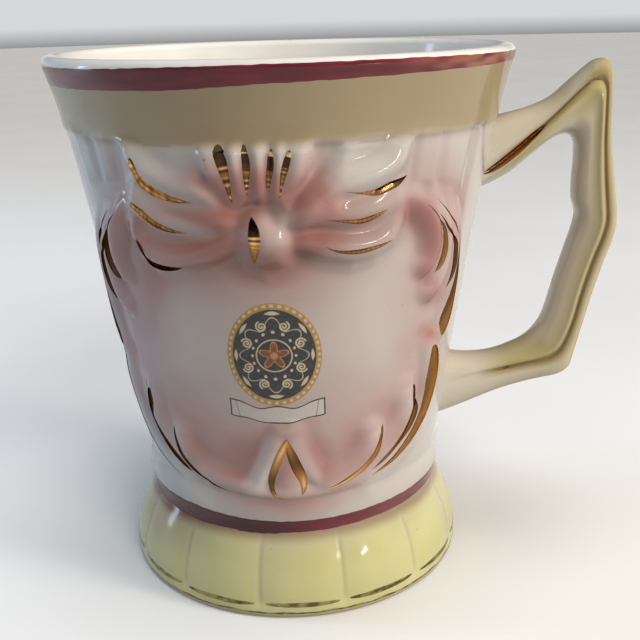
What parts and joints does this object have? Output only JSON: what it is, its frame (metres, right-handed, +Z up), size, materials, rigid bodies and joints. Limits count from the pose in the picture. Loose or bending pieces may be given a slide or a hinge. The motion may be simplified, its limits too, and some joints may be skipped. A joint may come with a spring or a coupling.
{
  "type": "footed porcelain mug",
  "caption": "Flared porcelain mug on a pleated foot, with a moulded bow and scroll relief, an angular handle, maroon bands and raised gilding.",
  "frame": {"origin": "centre of the foot, on the surface that the mug stands on", "axes": "+Z up along the mug's axis, +X through the middle of the handle, -Y towards the printed front"},
  "size_m": [0.1247, 0.1004, 0.117],
  "materials": {
    "cup_porcelain": "gloss glaze with pink and yellow-green airbrushed shading",
    "foot_porcelain": "gloss glaze, shaded yellow-green",
    "handle_porcelain": "gloss glaze with yellow-green shading along the groove",
    "maroon_enamel": "gloss fired enamel, hand painted",
    "gold_lustre": "polished raised gilding",
    "worn_gold": "worn gilding",
    "print_enamel": "gloss fired print"
  },
  "bodies": {
    "root": {"cup_body": "cup_porcelain", "foot_skirt": "foot_porcelain", "handle": "handle_porcelain", "rim_band": "maroon_enamel", "waist_band": "maroon_enamel", "bow_gilding": "gold_lustre", "scroll_gilding": "gold_lustre", "pendant_gilding": "gold_lustre", "handle_gilding": "gold_lustre", "foot_gilding": "worn_gold", "front_print": "print_enamel"}
  },
  "joints": []
}
